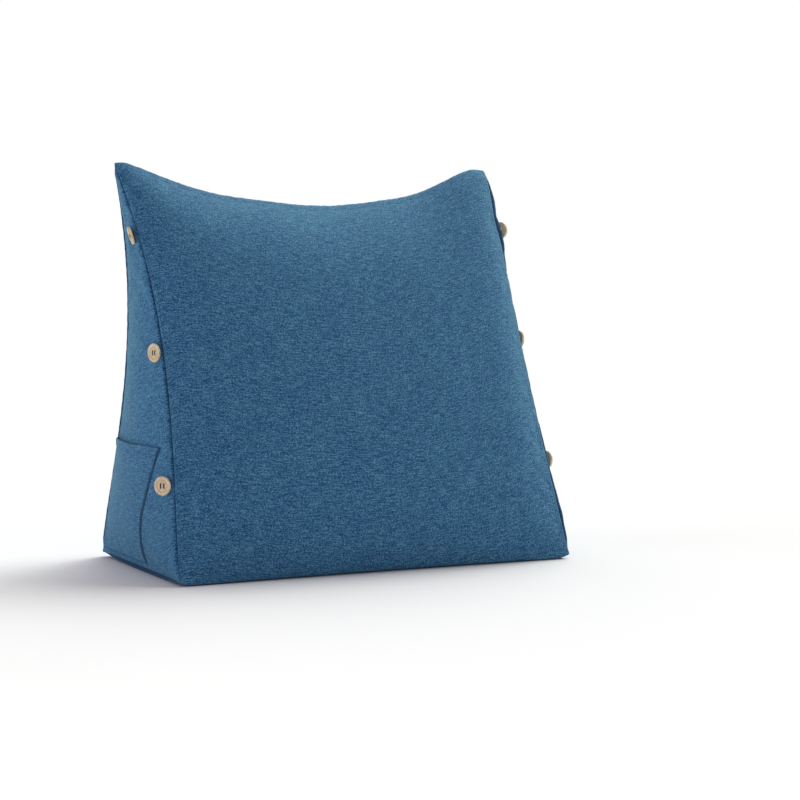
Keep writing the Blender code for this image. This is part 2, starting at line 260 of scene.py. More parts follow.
def wovenLinenLook():
    # Linen-look polyester upholstery, plain woven from two-tone slub yarn: a dry matt blue, heathered
    # with short dark and light flecks that lie along the weft, over fine upright ribs.
    material = bpy.data.materials.new("wovenLinenLook")
    material.use_nodes = True
    tree = material.node_tree
    shader = tree.nodes["Principled BSDF"]
    uv = addNode(tree, "ShaderNodeUVMap", {"uv_map": "clothMetres"}).outputs["UV"]
    mm = addNode(tree, "ShaderNodeVectorMath", {"operation": "SCALE"}, {0: uv, "Scale": 1000.0}).outputs[0]
    total, clouds = 0.5, None
    for number, (across, down, detail, weight) in enumerate(linenCloth["grains"]):
        place = addNode(tree, "ShaderNodeMapping", {},
                        {"Vector": mm, "Location": (31.7 * number, 17.3 * number, 0),
                         "Scale": (1 / across, 1 / down, 1)}).outputs[0]
        grain = addNode(tree, "ShaderNodeTexNoise", {"noise_dimensions": "2D"},
                        {"Vector": place, "Scale": 1.0, "Detail": detail, "Roughness": 0.5}).outputs[0]
        centred = addNode(tree, "ShaderNodeMath", {"operation": "SUBTRACT"}, {0: grain, 1: 0.5}).outputs[0]
        total = addNode(tree, "ShaderNodeMath", {"operation": "MULTIPLY_ADD"},
                        {0: centred, 1: weight, 2: total}).outputs[0]
        clouds = grain
    across, down = linenCloth["cells"]
    cell = addNode(tree, "ShaderNodeVectorMath", {"operation": "MULTIPLY"},
                   {0: mm, 1: (1 / across, 1 / down, 0)})
    cell = addNode(tree, "ShaderNodeVectorMath", {"operation": "FLOOR"}, {0: cell.outputs[0]}).outputs[0]
    fleck = addNode(tree, "ShaderNodeTexWhiteNoise", {"noise_dimensions": "2D"},
                    {"Vector": cell}).outputs["Value"]
    fleck = addNode(tree, "ShaderNodeMath", {"operation": "SUBTRACT"}, {0: fleck, 1: 0.5}).outputs[0]
    tone = addNode(tree, "ShaderNodeMath", {"operation": "MULTIPLY_ADD"},
                   {0: fleck, 1: linenCloth["cellWeight"], 2: total}).outputs[0]
    axes = addNode(tree, "ShaderNodeSeparateXYZ", {}, {0: mm})
    turns = 2 * math.pi / linenCloth["ribPitch"]
    waves = []
    for axis in ("X", "Y"):
        phase = addNode(tree, "ShaderNodeMath", {"operation": "MULTIPLY"},
                        {0: axes.outputs[axis], 1: turns}).outputs[0]
        waves.append(addNode(tree, "ShaderNodeMath", {"operation": "SINE"}, {0: phase}).outputs[0])
    ribbed = addNode(tree, "ShaderNodeMath", {"operation": "MULTIPLY_ADD"}, {0: waves[0], 1: 0.035, 2: tone})
    ramp = addNode(tree, "ShaderNodeValToRGB", {}, {"Fac": ribbed.outputs[0]})
    ends = sorted(linenCloth["shades"])
    ramp.color_ramp.elements.new(ends[1])
    for element, position in zip(ramp.color_ramp.elements, ends):
        element.position, element.color = position, linearColor(linenCloth["shades"][position])
    tint = addNode(tree, "ShaderNodeMix", {"data_type": "RGBA"},
                   {0: clouds, 6: linearColor(linenCloth["tints"][0]), 7: linearColor(linenCloth["tints"][1])})
    dyed = addNode(tree, "ShaderNodeMix", {"data_type": "RGBA", "blend_type": "MULTIPLY"},
                   {0: 1.0, 6: ramp.outputs["Color"], 7: tint.outputs[2]})
    # painted shade: the seams' attribute turns the yarn towards navy along the sewing lines, the grooves, the
    # underside and the seam ridges, on top of the sewing lines' own dark colour
    shade = addNode(tree, "ShaderNodeAttribute", {"attribute_name": "seamLineAndPaintedShade"}).outputs["Fac"]
    seamLinesAndShade = addNode(tree, "ShaderNodeMix", {"data_type": "RGBA"},
                   {0: shade, 6: dyed.outputs[2], 7: linearColor(linenCloth["seamLineAndShadeColor"])})
    tree.links.new(seamLinesAndShade.outputs[2], shader.inputs["Base Color"])
    crossed = addNode(tree, "ShaderNodeMath", {"operation": "MULTIPLY"}, {0: waves[0], 1: waves[1]}).outputs[0]
    relief = addNode(tree, "ShaderNodeMath", {"operation": "MULTIPLY_ADD"},
                     {0: crossed, 1: 0.2, 2: tone}).outputs[0]
    bump = addNode(tree, "ShaderNodeBump", {}, {"Height": relief, "Strength": 0.5,
                                                "Distance": linenCloth["relief"] / 1000}).outputs[0]
    tree.links.new(bump, shader.inputs["Normal"])
    shader.inputs["Roughness"].default_value = linenCloth["roughness"]
    shader.inputs["Specular IOR Level"].default_value = linenCloth["gloss"]
    sheenWeight, sheenRoughness, sheenColor = linenCloth["sheen"]
    shader.inputs["Sheen Weight"].default_value = sheenWeight
    shader.inputs["Sheen Roughness"].default_value = sheenRoughness
    shader.inputs["Sheen Tint"].default_value = linearColor(sheenColor)
    return material


makeCamera()
makeStudio()
linen = wovenLinenLook()
print("camera, lights, floor and cloth made")


cushion = {
    "place": (0.00134, -0.15098, 0.0),   # from the seam corners' own frame to the row's
    "width": 0.550,
    "baseDepth": 0.298,
    "apexBack": 0.239,
    "heights": {-1: 0.5225, 1: 0.5245},
    "cornerLift": 0.006,
    "frontSeamHeight": 0.0008,           # between the corners, where the front panel rolls under
    "frontSeamSink": 0.035,              # share of the width that the seam takes to sink there
    "earRounding": (0.0020, 0.0060),     # metres that an ear's tip is drawn in, and over what height
    "topNip": (0.0030, 0.13, 0.06),      # right front seam: metres drawn in, where down it, spread
    "sideSeamLift": -0.0005,
    "baseSeamDraw": 0.007,
    "topForward": 0.019,
    "bows": {(-1, "front"): (0.0200, 0.0190), (-1, "back"): (0.0225, 0.0150),
             (1, "front"): (0.0190, 0.0300), (1, "back"): (0.0225, 0.0180)},
    "drawShape": (1.10, 1.40),
    "forwardShape": (0.73, 1.35),
    "topSag": [(0.0, 0.0), (0.022, -0.0010), (0.05, 0.0033), (0.125, 0.0188), (0.216, 0.0347), (0.36, 0.0467),
               (0.53, 0.0531), (0.675, 0.0456), (0.79, 0.0341), (0.876, 0.0154), (0.928, 0.0033),
               (0.965, -0.0014), (1.0, 0.0)],
    "crowns": {"front": (0.056, 0.62, 0.62, 0.62, 0.50), "back": (0.042, 0.62, 0.62, 0.66, 0.50),
               "side": (0.017, 0.78, 0.95, 1.60, 0.60)},
    "baseFlatShare": 0.024,
    "underRoll": (0.0045, 0.045),        # metres that the base swells below the side seams, share of width
    "simCells": (60, 56, 30),            # across, down, deep
    "fineCells": (150, 140, 72),
    "bunching": 0.80,                    # how far the fine cells crowd towards the seams
    "startFill": 0.94,                   # share of the crown that the simulation starts from
    "pressure": 4.0,
    "simFrames": 20,
    "slack": -0.002,                     # share of spare cloth, negative for looser
    "cap": 0.008,                        # furthest a point may move in the simulation
    "fill": 0.85,
}


def seamCorner(side, where):
    x = side * cushion["width"] / 2
    if where == "top":
        return np.array([x, cushion["apexBack"], cushion["heights"][side]])
    return np.array([x, 0.0 if where == "front" else cushion["baseDepth"], cushion["cornerLift"]])


def uprightSeam(side, where, t):  # straight line from ear to base corner, drawn in and bowed forward by humps
    drawIn, forward = cushion["bows"][(side, where)]
    line = seamCorner(side, "top") + (seamCorner(side, where) - seamCorner(side, "top")) * t[..., None]
    line[..., 0] -= side * drawIn * hump(t, *cushion["drawShape"])
    line[..., 1] -= forward * hump(t, *cushion["forwardShape"])
    if (side, where) == (1, "front"):    # a small extra nip beside the highest button
        depth, at, spread = cushion["topNip"]
        line[..., 0] -= depth * np.exp(-((t - at) / spread) ** 2) * smoothStep(t, 0.0, 0.03)
    return line


def crossSeam(where, s):  # the top seam sags by its table, the base seams are drawn in by a parabola
    line = seamCorner(-1, where) + (seamCorner(1, where) - seamCorner(-1, where)) * s[..., None]
    middle = 4 * s * (1 - s)
    if where == "top":
        line[..., 2] -= throughTable(cushion["topSag"], s)
        line[..., 1] -= cushion["topForward"] * middle
    else:
        line[..., 1] += (1 if where == "front" else -1) * cushion["baseSeamDraw"] * middle
    if where == "front":                 # and the front one sinks to the ground by a parabola near its corners
        near = np.clip(np.minimum(s, 1 - s) / cushion["frontSeamSink"], 0, 1)
        line[..., 2] -= (cushion["cornerLift"] - cushion["frontSeamHeight"]) * (1 - (1 - near) ** 2)
    return line


def sideBaseSeam(side, u):  # straight line from front to back corner, drawn in and lifted by a parabola
    line = seamCorner(side, "front") + (seamCorner(side, "back") - seamCorner(side, "front")) * u[..., None]
    middle = 4 * u * (1 - u)
    line[..., 0] -= side * 0.5 * cushion["baseSeamDraw"] * middle
    line[..., 2] += cushion["sideSeamLift"] * middle
    return line


def coons(top, bottom, left, right, s, t):  # two ruled surfaces added, less the bilinear one of the corners
    s, t = s[..., None], t[..., None]
    corners = ((1 - s) * (1 - t) * top[:1, :1] + s * (1 - t) * top[:1, -1:]
               + (1 - s) * t * bottom[:1, :1] + s * t * bottom[:1, -1:])
    return (1 - t) * top + t * bottom + (1 - s) * left + s * right - corners


def widePanel(where, s, t, fill):  # Coons surface between four seams, plus crown = height * hump * hump
    surface = coons(crossSeam("top", s[:1]), crossSeam(where, s[:1]),
                    uprightSeam(-1, where, t[:, :1]), uprightSeam(1, where, t[:, :1]), s, t)
    height, first, last, top, bottom = cushion["crowns"][where]
    run = seamCorner(1, "top") - seamCorner(-1, "top")
    fall = seamCorner(-1, where) - seamCorner(-1, "top")
    out = unit(np.cross(fall, run) if where == "front" else np.cross(run, fall))
    return surface + (fill * height * hump(s, first, last) * hump(t, top, bottom))[..., None] * out


def sidePanel(side, u, t, fill):  # lines between the two upright seams, bent to the base seam, plus crown
    front, back = uprightSeam(side, "front", t), uprightSeam(side, "back", t)
    surface = front + (back - front) * u[..., None]
    foot = seamCorner(side, "front") + (seamCorner(side, "back") - seamCorner(side, "front")) * u[..., None]
    surface = surface + (sideBaseSeam(side, u) - foot) * (t ** 4)[..., None]
    height, first, last, top, bottom = cushion["crowns"]["side"]
    surface[..., 0] += side * fill * height * hump(u, first, last) * hump(t, top, bottom)
    return surface


def basePanel(s, u):
    # Coons surface between the base seams that sinks to a flat rest inside them, and swells out in a
    # narrow hump below the side seams.
    surface = coons(crossSeam("front", s[:1]), crossSeam("back", s[:1]),
                    sideBaseSeam(-1, u[:, :1]), sideBaseSeam(1, u[:, :1]), s, u)
    inside = np.clip(16 * s * (1 - s) * u * (1 - u) / cushion["baseFlatShare"], 0, 1)
    surface[..., 2] *= (1 - inside ** 0.8) ** 1.2
    height, reach = cushion["underRoll"]
    swell = height * 4 * u * (1 - u)
    surface[..., 0] -= swell * (hump(s / reach, 0.7, 1.6) - hump((1 - s) / reach, 0.7, 1.6))
    return surface


def roundedEars(grid):  # towards an ear's tip the width shrinks by an exponential of the height left
    side = np.where(grid[..., 0] < 0, -1, 1)
    height = np.where(side < 0, cushion["heights"][-1], cushion["heights"][1])
    depth, reach = cushion["earRounding"]
    shift = depth * np.exp(-np.abs(height - grid[..., 2]) / reach)
    shift = shift * smoothStep(np.abs(grid[..., 0]), 0.22, 0.26)
    return grid - np.stack([side * shift, 0 * shift, 0 * shift], -1)


panelFaces = {"front": (0, -0.9, 0.4), "back": (0, 1, 0.1), "base": (0, 0, -1), -1: (-1, 0, 0), 1: (1, 0, 0)}


def cushionPanels(across, down, deep, fill):
    s, t = np.meshgrid(across, down)
    panels = {"front": widePanel("front", s, t, fill), "back": widePanel("back", s, t, fill)}
    s, u = np.meshgrid(across, deep)
    panels["base"] = basePanel(s, u)
    u, t = np.meshgrid(deep, down)
    for side in (-1, 1):
        panels[side] = sidePanel(side, u, t, fill)
    return {name: roundedEars(grid) + np.array(cushion["place"]) for name, grid in panels.items()}


def panelMesh(name, panels, uvs=None, shades=None):  # all panels in one mesh, joined along the seams
    points, quads, first = [], [], 0
    for key, grid in panels.items():
        rows, cols = grid.shape[:2]
        raw = np.cross(np.gradient(grid, axis=1), np.gradient(grid, axis=0))
        quads.append(gridQuads(rows, cols, (raw * np.array(panelFaces[key])).sum() < 0, first))
        points.append(grid.reshape(-1, 3))
        first += rows * cols
    flatUv = None if uvs is None else np.concatenate([uvs[key].reshape(-1, 2) for key in panels])
    attributes = None
    if shades is not None:
        attributes = {"seamLineAndPaintedShade": np.concatenate([shades[key].ravel() for key in panels])}
    return makeObject(name, np.concatenate(points), np.concatenate(quads), flatUv, attributes)


def settledPanels():
    # The cover is blown up from inside by Blender's cloth simulation with its seams held. What each
    # point moved comes back panel by panel, with no move longer than the cap.
    across, down, deep = (np.linspace(0, 1, n + 1) for n in cushion["simCells"])
    panels = cushionPanels(across, down, deep, cushion["startFill"])
    cover, place = panelMesh("coverInTheMaking", panels)
    held = []
    for key, grid in panels.items():
        mask = np.full(grid.shape[:2], key == "base")
        mask[[0, -1]] = mask[:, [0, -1]] = True
        held.append(mask.ravel())
    pinned = np.unique(place[np.concatenate(held)])
    cover.vertex_groups.new(name="seams").add(pinned.tolist(), 1.0, "REPLACE")
    cloth = cover.modifiers.new("filling", "CLOTH")
    settings = cloth.settings
    settings.vertex_group_mass = "seams"
    settings.use_pressure = True
    settings.uniform_pressure_force = cushion["pressure"]
    settings.effector_weights.gravity = 0.0
    settings.quality = 7
    settings.mass = 0.25
    settings.tension_stiffness = settings.compression_stiffness = 22
    settings.shear_stiffness = 8
    settings.bending_stiffness = 1.5
    settings.shrink_min = cushion["slack"]
    cloth.collision_settings.use_collision = False
    cloth.point_cache.frame_start, cloth.point_cache.frame_end = 1, cushion["simFrames"]
    for number in range(1, cushion["simFrames"] + 1):
        bpy.context.scene.frame_set(number)
    evaluated = cover.evaluated_get(bpy.context.evaluated_depsgraph_get())
    moved = np.empty(len(evaluated.data.vertices) * 3, np.float32)
    evaluated.data.vertices.foreach_get("co", moved)
    moved = moved.reshape(-1, 3).astype(float)[place]
    bpy.context.scene.frame_set(1)
    mesh = cover.data
    bpy.data.objects.remove(cover, do_unlink=True)
    bpy.data.meshes.remove(mesh)
    shifts, first = {}, 0
    for key, grid in panels.items():
        count = grid.shape[0] * grid.shape[1]
        shift = moved[first:first + count].reshape(grid.shape) - grid
        size = np.linalg.norm(shift, axis=-1, keepdims=True)
        shifts[key] = shift * np.tanh(size / cushion["cap"]) * cushion["cap"] / np.maximum(size, 1e-9)
        first += count
        print("  %s panel moved by %.1f mm on average" % (key, size.mean() * 1000))
    return shifts


seams = {
    "grooveDepth": 0.0022,
    "grooveWidth": 0.0013,
    "rollHeight": 0.0026,      # the turned-in seam allowance pads the side panels' front edges
    "rollReach": 0.0036,
    "rollFade": 0.020,
    "lips": {1: [(0.10, 0.07, 0.0074), (0.19, 0.05, 0.0062), (0.74, 0.07, 0.0016), (0.90, 0.08, 0.0050)],
             -1: []},             # down, spread, extra height
    "backLip": 0.0030,         # how far the back panel's edge stands out past its seam
    "puckerHeight": {"front": 0.00035, "back": 0.00030, "base": 0.0, -1: 0.00012, 1: 0.00012},
    "puckerPitch": 0.011,
    "puckerReach": 0.006,
    "softWaves": 0.0012,       # height of the filling's slow unevenness
    # metres and darkness of the sewing line and the painted shade beside it, per panel, or per panel and the
    # one beyond the seam; on the base and on the right side panel's front edge it is mostly painted shade of
    # the underside and of the strip turned away from the light
    "shadeWidth": {"front": 0.0006, "back": 0.0040, "base": 0.0150, -1: 0.0008, 1: 0.0030,
                   (1, "front"): 0.0062},
    "shade": {"front": 0.72, "back": 0.72, "base": 0.92, -1: 0.72, 1: 0.72, (1, "front"): 0.86},
}
panelNeighbours = {"front": (-1, 1, "back", "base"), "back": (-1, 1, "front", "base"),
                   "base": (-1, 1, "front", "back"), -1: ("front", "back", None, "base"),
                   1: ("front", "back", None, "base")}


def slowWaves(along, down, seed):  # mean of seven long sines at odd angles, between -1 and 1
    rng = np.random.default_rng(seed)
    angle, wave, phase = rng.uniform(0, math.pi, 7), rng.uniform(0.09, 0.24, 7), rng.uniform(0, 6.28, 7)
    place = along[..., None] * np.cos(angle) + down[..., None] * np.sin(angle)
    return np.sin(2 * math.pi * place / wave + phase).mean(-1)


def finishPanel(key, grid, s, t):
    # Adds to one panel: a groove that fades with the square of the distance from each seam, a padded
    # roll beside the upright seams, short puckers across the seams and slow waves of the filling.
    # Also returns the darkness painted along the seams, 1 on the sewing line: the sewing line's own dark
    # colour, with painted shade of the seam grooves, the back panel's lip, the underside below the side seams
    # and the right side panel's strip beside its front seam.
    out = gridNormals(grid, panelFaces[key])
    along, down = runLength(grid, 1), runLength(grid, 0)
    neighbours = panelNeighbours[key]
    edges = [(neighbours[0], along, t), (neighbours[1], along[:, -1:] - along, t),
             (neighbours[2], down, s), (neighbours[3], down[-1:] - down, s)]
    result, clear, shade = grid.copy(), np.ones_like(s), np.zeros_like(s)
    for number, (other, distance, parameter) in enumerate(edges):
        if other is None:
            continue
        alive = smoothStep(parameter, 0.0, 0.04) * smoothStep(1 - parameter, 0.0, 0.04)
        top = {key, other} == {"front", "back"}
        inward = -unit(unit(np.array(panelFaces[key], float)) + unit(np.array(panelFaces[other], float)))
        low = "base" in (key, other)
        depth = (0.35 if top or low else 1.0) * seams["grooveDepth"]
        depth = depth * np.exp(-(distance / seams["grooveWidth"]) ** 2)
        result += (depth * alive)[..., None] * inward
        length = down[-1].max() if number < 2 else along[:, -1].max()
        phase = parameter * length * 2 * math.pi / seams["puckerPitch"]
        phase = phase + 1.6 * np.sin(phase * 0.37 + number) + 0.9 * np.sin(phase * 0.83 + 2.0)
        near = distance / seams["puckerReach"]
        lift = seams["puckerHeight"][key] * np.sin(phase) * near * np.exp(1 - near) * alive
        if key in (-1, 1) and other == "front":
            height = seams["rollHeight"] + sum(h * np.exp(-((t - at) / spread) ** 2)
                                               for at, spread, h in seams["lips"][key])
            roll = (1 - np.exp(-(distance / seams["rollReach"]) ** 1.5)) * np.exp(-distance / seams["rollFade"])
            lift = lift + height * roll * alive
        if key == "back" and other in (-1, 1):
            lip = hump(np.clip(distance / 0.012, 0, 1), 0.7, 2.4) * alive
            result[..., 0] += other * seams["backLip"] * lip
        result += lift[..., None] * out
        clear = clear * smoothStep(distance, 0.0, 0.05)
        # painted shade along the seams, on top of the sewing line's dark colour: widest on the base below the
        # side seams and on the right side panel beside its front seam
        if not top and not (key == "front" and low):
            width = seams["shadeWidth"].get((key, other), seams["shadeWidth"][key])
            dark = seams["shade"].get((key, other), seams["shade"][key])
            dark = dark * np.exp(-(distance / width) ** 2) * (0.3 + 0.7 * alive)
            if key == "front" or (key, other) == (-1, "front"):
                dark = dark * (0.32 + 0.68 * smoothStep(parameter, 0.10, 0.40))
            shade = np.maximum(shade, dark)
    if key != "base":
        wave = slowWaves(along - along[:, -1:] / 2, down, 11 + list(panelFaces).index(key))
        result += (seams["softWaves"] * wave * clear)[..., None] * out
    return result, shade


def panelUv(key, grid):  # metres along and down the cloth, measured over the surface from its middle column
    along, down = runLength(grid, 1), runLength(grid, 0)
    offset = {"front": 0.0, "back": 1.3, "base": 2.6, -1: 3.9, 1: 5.2}[key]
    return np.stack([along - along[:, [along.shape[1] // 2]] + offset, offset * 0.7 - down], axis=-1)


def bunched(even):  # values 0..1, closer together towards both ends
    share = cushion["bunching"]
    return (1 - share) * even + share * (0.5 - 0.5 * np.cos(math.pi * even))


button = {
    "faceProfile": [(0.0, 0.00236), (0.0050, 0.00240), (0.0066, 0.00236), (0.0074, 0.00222), (0.0080, 0.00232),
                    (0.0089, 0.00306), (0.0097, 0.00342), (0.0104, 0.00350), (0.0110, 0.00344)],
    "rimProfile": [(0.0110, 0.00344), (0.01155, 0.00312), (0.01188, 0.00262), (0.0120, 0.0020),
                   (0.0120, 0.0016), (0.01188, 0.00105), (0.01158, 0.00052), (0.0112, 0.00014),
                   (0.0107, 0.0)],
    "holeSpacing": 0.0048,
    "holeRadius": 0.0012,
    "shades": {0.30: "#D2B58C", 0.50: "#EBD2AD", 0.70: "#F8E9CE"},     # late wood, mean and early wood
    # tan of the painted shade in the turned groove and the dish
    "grooveShadeColor": "#C9A677",
    "threadRadius": 0.00072,
    "halfThick": 0.00175,
    "barLevel": 0.0016,            # where the sewing thread's bars start inside the holes
    "facings": {1: (-0.925, 0.215, -0.313)},   # the first one hangs down and back on its thread
}


def buttonFrames():  # centre, outward, up and side of each button, read from its CAD node
    frames = []
    for number in range(1, 7):
        mesh = bpy.data.objects["button_%d" % number].data
        points = np.empty(len(mesh.vertices) * 3, np.float32)
        mesh.vertices.foreach_get("co", points)
        points = points.reshape(-1, 3).astype(float)
        centre = (points.min(0) + points.max(0)) / 2
        side = -1 if centre[0] < 0 else 1
        out = np.linalg.svd(points - points.mean(0), full_matrices=False)[2][2]
        out = unit(np.array(button["facings"].get(number, out * np.sign(out[0] * side))))
        up = np.array([0.0, 0.0, 1.0])
        up = unit(up - up.dot(out) * out)
        frames.append({"centre": centre, "out": out, "up": up, "across": np.cross(up, out), "side": side})
    return frames


def pressUnderButtons(grid, side):
    # Under each button the cloth is kept behind the button's back and pulled in by its thread: the
    # height over the back is cut off and a dimple of exp(-(r/reach)^2) is taken away.
    for frameOf in buttonFrames():
        if frameOf["side"] != side:
            continue
        offset = grid - (frameOf["centre"] - frameOf["out"] * button["halfThick"])
        height = offset @ frameOf["out"]
        radius = np.linalg.norm(offset - height[..., None] * frameOf["out"], axis=-1)
        near = 1 - smoothStep(radius, 0.013, 0.026)
        near = near * (np.abs(height) < 0.03)
        press = np.maximum(height + 0.0007, 0) * near + 0.0012 * np.exp(-(radius / 0.006) ** 2) * near
        grid = grid - press[..., None] * frameOf["out"]
    return grid


def buildCushion():
    shifts = settledPanels()
    evens = [np.linspace(0, 1, n + 1) for n in cushion["fineCells"]]
    across, down, deep = (bunched(even) for even in evens)
    panels = cushionPanels(across, down, deep, cushion["startFill"])
    grids, uvs, shades = {}, {}, {}
    for key, grid in panels.items():
        columns = deep if key in (-1, 1) else across
        rows = deep if key == "base" else down
        s, t = np.meshgrid(columns, rows)
        cells = np.array(shifts[key].shape[1::-1]) - 1
        grid = grid + readGrid(shifts[key], s * cells[0], t * cells[1])
        grids[key], shades[key] = finishPanel(key, grid, s, t)
        uvs[key] = panelUv(key, grid)
        if key in (-1, 1):
            grids[key] = pressUnderButtons(grids[key], key)
        grids[key][..., 2] = np.maximum(grids[key][..., 2], 0.0)   # nothing sinks into the ground
    body, _ = panelMesh("wedge_cushion", grids, uvs, shades)
    body.data.materials.append(linen)
    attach(body, "root")
    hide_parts("cushion")
    print("cushion made:", len(body.data.polygons), "faces")
    return grids


panelGrids = buildCushion()


pocket = {
    "mouth": 0.697, "bottom": 0.985, "back": 0.972,    # shares of the side panel's height and depth
    "frontEdge": [(0.0, 0.103), (0.2, 0.190), (0.4, 0.262), (0.6, 0.334), (0.8, 0.372), (1.0, 0.382)],
    "flat": (0.200, 0.151),         # metres, the cut without its turnings
    "thick": 0.0013,
    "gap": 0.0006,
    "gape": 0.0032,
    "hemDepth": 0.0095,
    "hemThick": 0.0008,
    "cells": (64, 70),
    "threadColor": "#12243C",
    "threadLight": "#22385A",       # where the ply catches the light
    "plyTurn": 0.9,                 # mm
    "stitchPitch": 0.0040,
    "stitchLength": 0.0029,
    "stitchRadius": 0.00030,
}


def pocketSurface(p, q, lift):  # the left side panel's own surface, read at the pocket's place and lifted
    front = throughTable(pocket["frontEdge"], q)
    u = front + (pocket["back"] - front) * p
    t = pocket["mouth"] + (pocket["bottom"] - pocket["mouth"]) * q
    evens = np.linspace(0, 1, 2001)
    grid = panelGrids[-1]
    column = np.interp(u, bunched(evens), evens) * (grid.shape[1] - 1)
    row = np.interp(t, bunched(evens), evens) * (grid.shape[0] - 1)
    surface = readGrid(grid, column, row)
    return surface + gridNormals(surface, (-1, 0, 0)) * lift[..., None]


def buildPocket():
    cellsAcross, cellsDown = pocket["cells"]
    across = 0.5 - 0.5 * np.cos(math.pi * np.linspace(0, 1, cellsAcross + 1))
    across = 0.5 * across + 0.5 * np.linspace(0, 1, cellsAcross + 1)
    hemShare = 1.5 * pocket["hemDepth"] / pocket["flat"][1]
    down = np.concatenate([np.linspace(0, hemShare, 22)[:-1], np.linspace(hemShare, 1, cellsDown - 20)])
    p, q = np.meshgrid(across, down)
    bare = pocketSurface(p, q, np.zeros_like(p))
    fromFront, fromMouth = runLength(bare, 1), runLength(bare, 0)
    fromBack, fromBottom = fromFront[:, -1:] - fromFront, fromMouth[-1:] - fromMouth
    gape = pocket["gape"] * hump(p, 2.4, 0.8) * (1 - q) ** 3 + 0.0010 * hump(p, 0.8, 0.8) * (1 - q) ** 4
    loose = 0.0010 * hump(p, 0.9, 1.1) * hump(q, 0.6, 0.8) * (0.6 + 0.4 * slowWaves(fromFront, fromMouth, 5))
    inner = pocket["gap"] + gape + loose
    hem = 1 - smoothStep(fromMouth, pocket["hemDepth"] - 0.0006, pocket["hemDepth"] + 0.0012)
    stitched = np.exp(-((fromMouth - pocket["hemDepth"]) / 0.0008) ** 2)
    edge = np.minimum(np.minimum(fromFront, fromBack), fromBottom)
    rounded = 0.20 + 0.80 * (1 - np.exp(-edge / 0.0014))
    lip = 0.45 + 0.55 * (1 - np.exp(-fromMouth / 0.0006))
    outer = inner + (pocket["thick"] + pocket["hemThick"] * hem) * rounded * lip - 0.0005 * stitched
    back, face = pocketSurface(p, q, inner), pocketSurface(p, q, np.maximum(outer, inner + 0.0002))
    rows, cols = p.shape
    n = rows * cols
    rim = np.concatenate([np.arange(cols), np.arange(2, rows) * cols - 1, n - 1 - np.arange(cols),
                          np.arange(rows - 2, 0, -1) * cols])
    following = np.roll(rim, -1)
    flip = (np.cross(face[0, 1] - face[0, 0], face[1, 0] - face[0, 0])[0]) > 0
    walls = np.stack([rim, following, following + n, rim + n], axis=1)
    quads = np.concatenate([gridQuads(rows, cols, not flip), gridQuads(rows, cols, flip, n),
                            walls[:, ::-1] if not flip else walls])
    uv = np.stack([-fromFront + 7.3, 1.9 - fromMouth], axis=-1).reshape(-1, 2)
    # painted shade where the pocket's front, bottom and back edges meet the side panel, over the dark sewing
    # line of each edge, and along the hem's sunken stitch line
    shade = (0.95 * np.exp(-(fromFront / 0.0026) ** 2) + 0.35 * np.exp(-(fromBottom / 0.0020) ** 2)
             + 0.6 * np.exp(-(fromBack / 0.0024) ** 2))
    shade = np.maximum(shade, 0.25 * stitched)
    piece, _ = makeObject("patch_pocket", np.concatenate([back.reshape(-1, 3), face.reshape(-1, 3)]), quads,
                          np.concatenate([uv, uv]), {"seamLineAndPaintedShade": np.tile(shade.ravel(), 2)})
    piece.data.materials.append(linen)
    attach(piece, "root")
    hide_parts("side_pocket")
    height = float(fromMouth[-1].mean())
    sewHem(height, outer[np.searchsorted(down, pocket["hemDepth"] / height)], across)


def twistedThread():
    # Two-ply polyester sewing thread: dark navy, dull, with a painted highlight, a light slanting line for each
    # turn of the ply.
    material = bpy.data.materials.new("twistedThread")
    material.use_nodes = True
    tree = material.node_tree
    shader = tree.nodes["Principled BSDF"]
    uv = addNode(tree, "ShaderNodeUVMap", {"uv_map": "clothMetres"}).outputs["UV"]
    axes = addNode(tree, "ShaderNodeSeparateXYZ", {}, {0: uv})
    slant = addNode(tree, "ShaderNodeMath", {"operation": "MULTIPLY_ADD"},
                    {0: axes.outputs["X"], 1: 6283.0 / pocket["plyTurn"], 2: axes.outputs["Y"]}).outputs[0]
    ply = addNode(tree, "ShaderNodeMath", {"operation": "SINE"}, {0: slant}).outputs[0]
    share = addNode(tree, "ShaderNodeMath", {"operation": "MULTIPLY_ADD"}, {0: ply, 1: 0.5, 2: 0.5}).outputs[0]
    color = addNode(tree, "ShaderNodeMix", {"data_type": "RGBA"},
                    {0: share, 6: linearColor(pocket["threadColor"]), 7: linearColor(pocket["threadLight"])})
    tree.links.new(color.outputs[2], shader.inputs["Base Color"])
    bump = addNode(tree, "ShaderNodeBump", {}, {"Height": ply, "Strength": 0.5, "Distance": 0.0001}).outputs[0]
    tree.links.new(bump, shader.inputs["Normal"])
    shader.inputs["Roughness"].default_value = 0.7
    return material


def tubes(paths, radius, sides=8):
    # Round strands along several paths at once: rings of points at right angles to each path, drawn
    # together to a point at both ends. Paths are an array of strands, steps and coordinates.
    count, steps = paths.shape[:2]
    ahead = unit(np.gradient(paths, axis=1))
    across = unit(np.cross(ahead, np.array([0.31, 0.17, 0.93])))
    other = np.cross(ahead, across)
    turn = np.linspace(0, 2 * math.pi, sides, endpoint=False)
    share = np.linspace(0, 1, steps)
    size = radius * np.minimum(1, np.sqrt(np.clip(np.minimum(share, 1 - share) * 6, 0, 1)))
    ring = (across[:, :, None] * np.cos(turn)[None, None, :, None]
            + other[:, :, None] * np.sin(turn)[None, None, :, None])
    points = paths[:, :, None] + ring * size[None, :, None, None]
    along = runLength(paths, 1)
    uv = np.stack(np.broadcast_arrays(along[:, :, None], turn[None, None]), axis=-1)
    quads = gridQuads(steps, sides, closed=True)
    starts = (np.arange(count) * steps * sides)[:, None, None]
    return points.reshape(-1, 3), (quads[None] + starts).reshape(-1, 4), uv.reshape(-1, 2)


